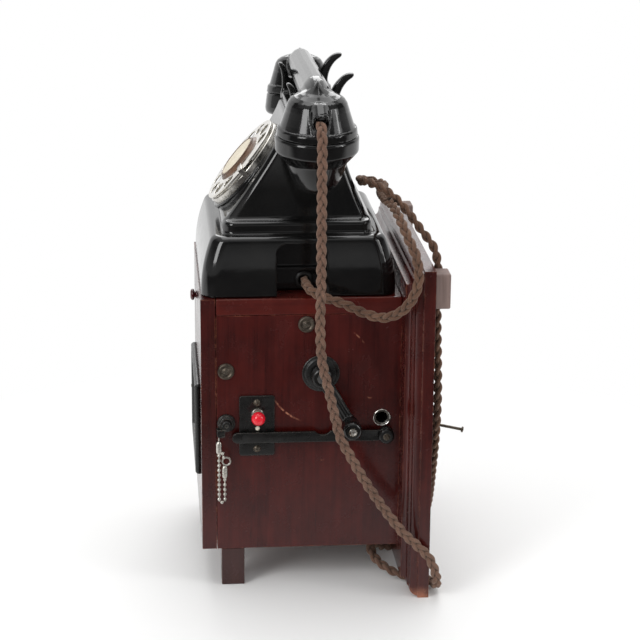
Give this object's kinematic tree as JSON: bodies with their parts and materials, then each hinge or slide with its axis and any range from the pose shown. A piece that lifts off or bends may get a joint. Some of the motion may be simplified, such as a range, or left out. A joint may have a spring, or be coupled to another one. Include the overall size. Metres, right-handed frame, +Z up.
{
  "type": "magneto telephone",
  "caption": "Box magneto telephone: a black dial desk set with handset on a polished wooden cabinet with side crank, button and lock bar, on a moulded backboard",
  "frame": {"origin": "middle of the overall width and depth without the cords, on the plane that the legs and the backboard stand on", "axes": "+X to the user's right of the telephone's front, where the crank is; +Y to the wall behind the backboard; +Z up"},
  "size_m": [0.2729, 0.223, 0.4268],
  "materials": {
    "wood_red": "french polished mahogany, dark red brown",
    "wood_top": "french polished mahogany, redder edge",
    "wood_pad": "plain unpolished hardwood",
    "bakelite": "near black moulded bakelite, high gloss",
    "button_red": "glossy red button",
    "nickel": "worn nickel plate",
    "black_metal": "black japanned metal",
    "brass": "plain brass",
    "steel": "plain steel",
    "magnet": "red painted magnet steel",
    "ivory": "ivory enamel",
    "card": "plain cream card",
    "glass": "clear glass",
    "cell": "waxed card jacket",
    "winding": "green silk covered windings",
    "cord": "brown plaited cotton cord",
    "screw": "dulled steel screws"
  },
  "bodies": {
    "cabinet": {"side_panel_right": "wood_red", "side_panel_left": "wood_red", "top_board": "wood_top", "bottom_board": "wood_red", "front_legs": "wood_red", "backboard": "wood_red", "wall_spacers": "wood_pad", "hanging_nail": "steel", "hinge_box_leaves": "brass", "phone_case": "bakelite", "base_plate": "black_metal", "cradle": "bakelite", "hook_switch": "brass", "dial_bezel": "nickel", "number_plate": "ivory", "finger_stop": "nickel", "dial_mechanism": "brass", "cord_bushes": "bakelite", "escutcheon": "black_metal", "crank_bush": "brass", "generator_shelf": "wood_red", "generator_frame": "brass", "generator_magnets": "magnet", "button_plate": "black_metal", "button_contacts": "brass", "bar_pivot": "black_metal", "eyelet_ring": "nickel", "chain_keeper": "black_metal", "ball_chain": "nickel", "panel_screws": "screw", "bell_gongs": "nickel", "ringer_frame": "steel", "ringer_coils": "winding", "dry_cells": "cell", "condenser": "steel", "handset_cord": "cord", "line_cord": "cord"},
    "door": {"front_door": "wood_red", "notice_frame": "black_metal", "notice_glass": "glass", "notice_card": "card", "door_knob": "wood_red", "hinge_door_leaves": "brass"},
    "handset": {"handset_handle": "bakelite", "transmitter_cap": "bakelite", "transmitter_capsule": "brass", "receiver_cap": "bakelite", "receiver_capsule": "steel", "handset_gland": "black_metal"},
    "plungers": {"cradle_plungers": "bakelite"},
    "dial": {"finger_plate": "nickel", "dial_label": "card"},
    "crank": {"crank_shaft": "steel", "crank_arm": "black_metal", "knob_spindle": "steel"},
    "knob": {"crank_knob": "bakelite"},
    "armature": {"armature": "steel"},
    "button": {"button_cap": "button_red"},
    "bar": {"lock_bar": "black_metal"},
    "clapper": {"bell_clapper": "brass"}
  },
  "joints": [
    {"name": "handset_lift", "type": "slide", "parent": "cabinet", "child": "handset", "axis": [0, 0, 1], "range_m": [0, 0.12]},
    {"name": "plunger_rise", "type": "slide", "parent": "cabinet", "child": "plungers", "axis": [0, 0, 1], "range_m": [0, 0.005]},
    {"name": "dial_turn", "type": "hinge", "parent": "cabinet", "child": "dial", "pos_m": [0, -0.067, 0.344], "axis": [0, -0.7705, 0.6374], "range_deg": [-330, 0], "stiffness_Nm_per_rad": 0.008},
    {"name": "crank_turn", "type": "hinge", "parent": "cabinet", "child": "crank", "pos_m": [0.0925, -0.0075, 0.186], "axis": [1, 0, 0], "continuous": true},
    {"name": "knob_spin", "type": "hinge", "parent": "crank", "child": "knob", "pos_m": [0.1125, 0.01573, 0.14688], "axis": [1, 0, 0], "continuous": true},
    {"name": "armature_spin", "type": "hinge", "parent": "cabinet", "child": "armature", "pos_m": [0.04, -0.0075, 0.1485], "axis": [1, 0, 0], "continuous": true},
    {"name": "button_press", "type": "slide", "parent": "cabinet", "child": "button", "axis": [-1, 0, 0], "range_m": [0, 0.004], "stiffness_N_per_m": 250},
    {"name": "bar_swing", "type": "hinge", "parent": "cabinet", "child": "bar", "pos_m": [0.0975, 0.0465, 0.133], "axis": [1, 0, 0], "range_deg": [0, 80]},
    {"name": "door_open", "type": "hinge", "parent": "cabinet", "child": "door", "pos_m": [-0.0951, -0.09325, 0.142], "axis": [0, 0, -1], "range_deg": [0, 105]},
    {"name": "clapper_swing", "type": "hinge", "parent": "cabinet", "child": "clapper", "pos_m": [-0.04, -0.017, 0.2045], "axis": [1, 0, 0], "range_deg": [-12, 12]}
  ],
  "couplings": [
    {"joint": "plunger_rise", "follows": "handset_lift", "ratio": 0.041667},
    {"joint": "armature_spin", "follows": "crank_turn", "ratio": -4}
  ]
}
